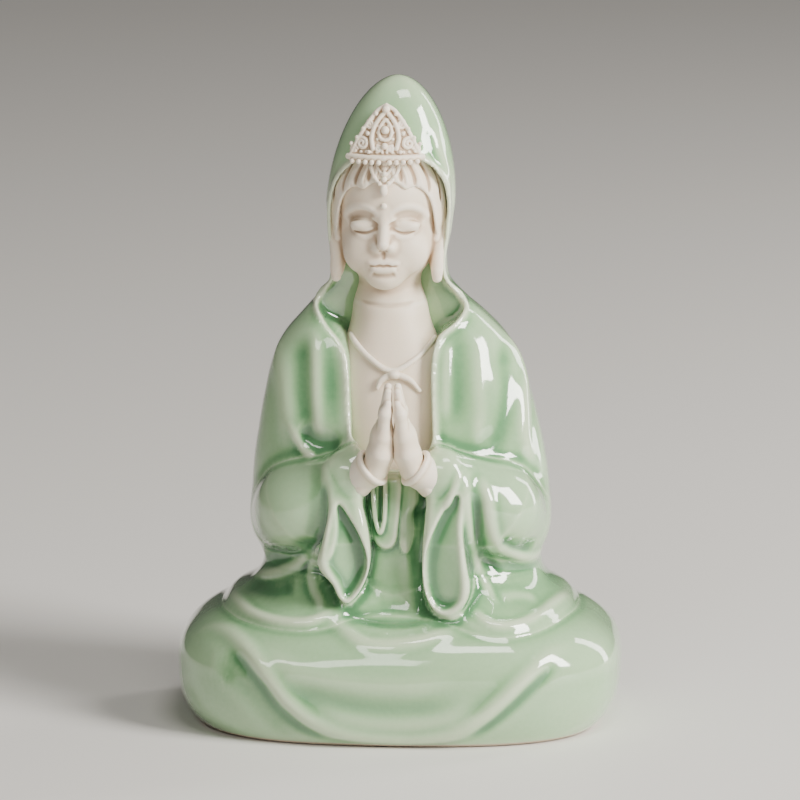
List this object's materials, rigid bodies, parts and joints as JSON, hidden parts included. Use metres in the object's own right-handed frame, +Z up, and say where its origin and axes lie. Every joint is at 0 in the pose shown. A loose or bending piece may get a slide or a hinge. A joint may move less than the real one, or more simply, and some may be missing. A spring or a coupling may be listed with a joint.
{
  "type": "seated hooded figurine",
  "caption": "Seated hooded figurine in pale green glazed porcelain with bisque head and pressed hands, for a shelf or altar board.",
  "frame": {"origin": "centre of the foot's underside", "axes": "+Z up along the figure's height, -Y the way the figure faces, +X to the figure's left"},
  "size_m": [0.1003, 0.07, 0.147],
  "materials": {
    "celadon_glaze": "thick glossy translucent celadon glaze, paler where it thins on ridges",
    "bisque": "fine unglazed porcelain, smooth and satin",
    "raw_foot": "wiped, unglazed clay slab, faintly speckled"
  },
  "bodies": {
    "root": {"lap": "celadon_glaze", "mantle": "celadon_glaze", "under_robe": "celadon_glaze", "right_sleeve": "celadon_glaze", "left_sleeve": "celadon_glaze", "sash": "celadon_glaze", "head": "bisque", "chest": "bisque", "hair": "bisque", "crown": "bisque", "crown_pendant": "bisque", "brow_bead": "bisque", "necklace_cord": "bisque", "necklace_bow": "bisque", "right_hand": "bisque", "left_hand": "bisque", "right_cuff": "bisque", "left_cuff": "bisque", "base_slab": "raw_foot"}
  },
  "joints": []
}
